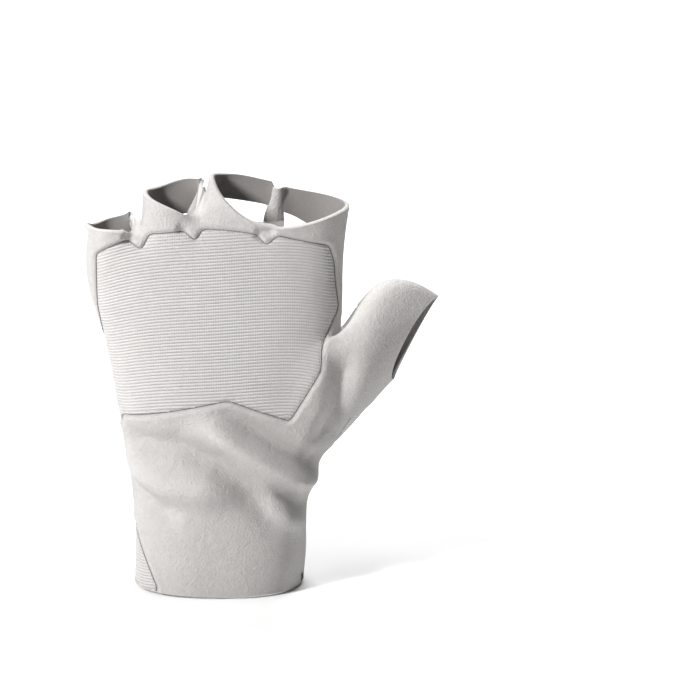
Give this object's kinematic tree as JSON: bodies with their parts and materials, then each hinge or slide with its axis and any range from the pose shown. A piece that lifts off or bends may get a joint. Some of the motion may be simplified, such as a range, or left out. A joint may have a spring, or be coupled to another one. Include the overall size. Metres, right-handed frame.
{
  "type": "climbing glove",
  "caption": "Left-hand fingerless climbing glove with an open palm, ribbed back, finger loops joined by strips, a thumb sleeve and a wrist strap",
  "frame": {"origin": "middle of the wrist opening, level with the cuff's lower edge", "axes": "+Z from the wrist to the fingers, +X towards the thumb, -Y out of the back of the hand, +Y out of the open palm"},
  "size_m": [0.1304, 0.0465, 0.1562],
  "materials": {
    "suede": "brushed off-white microfibre suede",
    "ribbed": "matt off-white rubber with fine raised ribs",
    "lining": "matt mid-grey woven lining",
    "binding": "light grey woven piping",
    "patch": "black fuzzy loop pile",
    "strap": "matt black webbing",
    "tack": "dark grey dense stitching"
  },
  "bodies": {
    "root": {"lining": "lining", "suede_shell": "suede", "ribbed_panel": "ribbed", "thumb_rib_panel": "ribbed", "loop_patch": "patch", "palm_binding": "binding", "thumb_hem_seam": "suede", "wrist_strap": "strap", "cuff_bartack": "tack", "finger_strip_1": "lining", "finger_strip_2": "lining", "finger_strip_3": "lining"}
  },
  "joints": []
}
